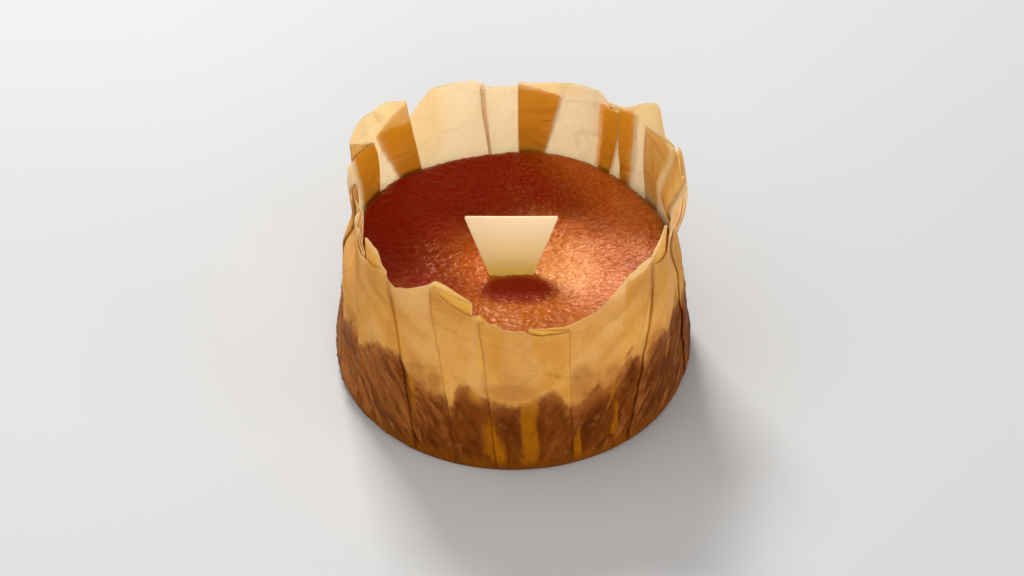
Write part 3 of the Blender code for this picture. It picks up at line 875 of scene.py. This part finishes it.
# Card
# A small tapering card of satin gold, painted pale at the top and deeper below as it reflects
# the light above and the cake below, cut with slightly round corners and pushed by its foot into the
# skin.
CARD_TOP_WIDTH = 31.6
CARD_LENGTH = 21.4
CARD_FOOT = 4.0
CARD_THICKNESS = 0.42
CARD_BOW = 0.25              # how far its middle stands off its edges
CARD_BOW_RISE = 8            # height over which the bow sets in above the skin
CARD_CORNER = 0.6
CARD_BEVEL = 0.09
CARD_ROWS = 40
CARD_COLUMNS = 60
CARD_PALE_REFLECTION = (0.93, 0.77, 0.49)
CARD_GOLD = (0.93, 0.76, 0.37)
CARD_DEEP_REFLECTION = (0.79, 0.57, 0.10)
CARD_TOOTH = (0.6, 0.42, 0.15)


def card_finish():
    """Satin gold board: painted reflections from pale at the top to deep below, with the faint tooth
    of the paper.
    """
    finish = Finish("Gold card")
    along = finish.mark("along")
    tooth = finish.noise(0.35, 4, 0.6)
    sheen = finish.noise(14, 2)
    # painted reflections: pale where the card faces the light above, deep gold where it faces the cake
    upper = finish.ease(along + (sheen - 0.5) * 0.12, 0.95, 0.35)
    colour = finish.mix(upper, CARD_PALE_REFLECTION, CARD_GOLD)
    colour = finish.mix(finish.ease(along, 0.45, 0.02), colour, CARD_DEEP_REFLECTION)
    colour = finish.mix(finish.ease(tooth, 0.35, 0.7) * 0.08, colour, CARD_TOOTH)
    finish.set(Base_Color=colour, Roughness=0.36 + (tooth - 0.5) * 0.12)
    finish.set(Normal=finish.bump(tooth, 0.012))
    return finish.material


def make_card():
    """The card as a closed loft: a grid of its front, a rounded rim, and a grid of its back.

    Its half width goes evenly from the foot to the top, less a quarter circle at the top
    corners, and it bows by half a cosine wave across.
    """
    across = np.linspace(-1, 1, CARD_COLUMNS + 1)[:, None]
    along = np.linspace(0, 1, CARD_ROWS + 1)[None, :]
    slope = (CARD_TOP_WIDTH - CARD_SURFACE_WIDTH) / CARD_LENGTH / 2
    length = CARD_LENGTH + CARD_FOOT
    top_gap = length * (1 - along)
    corner = CARD_CORNER - np.sqrt(np.maximum(
        CARD_CORNER ** 2 - np.maximum(CARD_CORNER - top_gap, 0) ** 2, 0))
    half = CARD_SURFACE_WIDTH / 2 + slope * (length * along - CARD_FOOT) - corner
    wide = across * half
    up = np.broadcast_to(length * along - CARD_FOOT, wide.shape)
    bow = CARD_BOW * np.cos(wide / CARD_TOP_WIDTH * np.pi) - CARD_BOW / 2
    bow = bow * smooth(up / CARD_BOW_RISE)
    side = CARD_THICKNESS / 2
    lean = np.radians(CARD_LEAN)

    def placed(depth, inward):
        """One face of the card at a depth behind its front, drawn in at its rim."""
        shrink = 1 - inward / np.maximum(half, 1)
        width = wide * shrink
        height = np.clip(up, -CARD_FOOT + inward, CARD_LENGTH - inward)
        back = depth - bow
        y = back * np.cos(lean) + height * np.sin(lean)
        z = height * np.cos(lean) - back * np.sin(lean)
        return (np.stack([width, y, z], -1) + np.array(CARD_PLACE)).reshape(-1, 3)

    quads, border = patch_faces(CARD_COLUMNS + 1, CARD_ROWS + 1)
    front, rear = placed(-side, CARD_BEVEL), placed(side, CARD_BEVEL)
    rims = [placed(depth, 0)[border] for depth in (CARD_BEVEL - side, side - CARD_BEVEL)]
    points = np.concatenate([front, rear, *rims])
    count = len(front)
    second = 2 * count + np.arange(len(border))
    rings = [border, second, second + len(border), count + border]
    faces = quads.tolist() + (quads[:, ::-1] + count).tolist()
    for near, far in zip(rings[:-1], rings[1:]):
        faces += band_faces(near, far)
    level = (up / CARD_LENGTH).ravel()
    marks = {"along": np.concatenate([level, level, level[border], level[border]])}
    return make_piece("card_board", points, faces, marks, card_finish())


card = make_card()
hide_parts("card")
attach(card, "root")

# Studio
# A pale seamless floor, a soft light from behind and above, weaker ones from the top, the
# front and both sides, and the camera where the photograph was taken from, in metres.
FLOOR_SIZE = 6.0
FLOOR_COLOUR = (0.462, 0.463, 0.467)
FLOOR_CLOUD = (0.444, 0.443, 0.442)
CAMERA_PLACE = (-0.00016, -0.71925, 0.660)
CAMERA_DOWN = 41.35          # degrees below the horizon
CAMERA_LENS = 100
WORLD_COLOUR = (1.0, 0.99, 0.97)
WORLD_STRENGTH = 0.30


def make_floor():
    """A wide plane that carries the paper's foot, with a barely cloudy pale paint."""
    finish = Finish("Floor")
    tone = finish.ease(finish.noise(400, 2), 0.2, 0.8)
    colour = finish.mix(tone * 0.04, FLOOR_COLOUR, FLOOR_CLOUD)
    finish.set(Base_Color=colour, Roughness=0.7, Specular_IOR_Level=0.3)
    half = FLOOR_SIZE / 2 / MM
    points = np.array([[-half, -half, 0], [half, -half, 0], [half, half, 0], [-half, half, 0]])
    return make_piece("floor", points, [[0, 1, 2, 3]], {}, finish.material)


def add_light(name, place, aim, size, power, colour):
    """A square soft light at a place, facing an aim."""
    lamp = bpy.data.lights.new(name, "AREA")
    lamp.shape = "SQUARE"
    lamp.size = size
    lamp.energy = power
    lamp.color = colour
    light = bpy.data.objects.new(name, lamp)
    light.location = place
    light.rotation_euler = (Vector(aim) - Vector(place)).to_track_quat("-Z", "Y").to_euler()
    bpy.context.scene.collection.objects.link(light)


make_floor()
add_light("back_light", (-0.31, 1.0, 0.98), (0, 0, 0.03), 0.40, 22, (1.0, 0.99, 0.97))
add_light("top_light", (-0.45, -0.1, 1.3), (0, 0, 0.03), 1.5, 9, (1.0, 0.99, 0.98))
add_light("front_light", (0.25, -1.75, 0.65), (0, 0, 0.04), 1.2, 15, (1.0, 0.99, 0.97))
add_light("left_light", (-1.3, -0.65, 0.32), (0, 0, 0.04), 0.7, 5, (1.0, 0.99, 0.97))
add_light("right_light", (1.3, -0.55, 0.32), (0, 0, 0.04), 0.7, 8.5, (1.0, 0.99, 0.97))

world = bpy.data.worlds.new("Studio")
world.use_nodes = True
world.node_tree.nodes["Background"].inputs["Color"].default_value = (*WORLD_COLOUR, 1)
world.node_tree.nodes["Background"].inputs["Strength"].default_value = WORLD_STRENGTH
bpy.context.scene.world = world
bpy.context.scene.view_settings.view_transform = "Standard"

lens = bpy.data.cameras.new("camera")
lens.lens = CAMERA_LENS
camera = bpy.data.objects.new("camera", lens)
camera.location = CAMERA_PLACE
camera.rotation_euler = (np.radians(90 - CAMERA_DOWN), 0, 0)
bpy.context.scene.collection.objects.link(camera)
bpy.context.scene.camera = camera
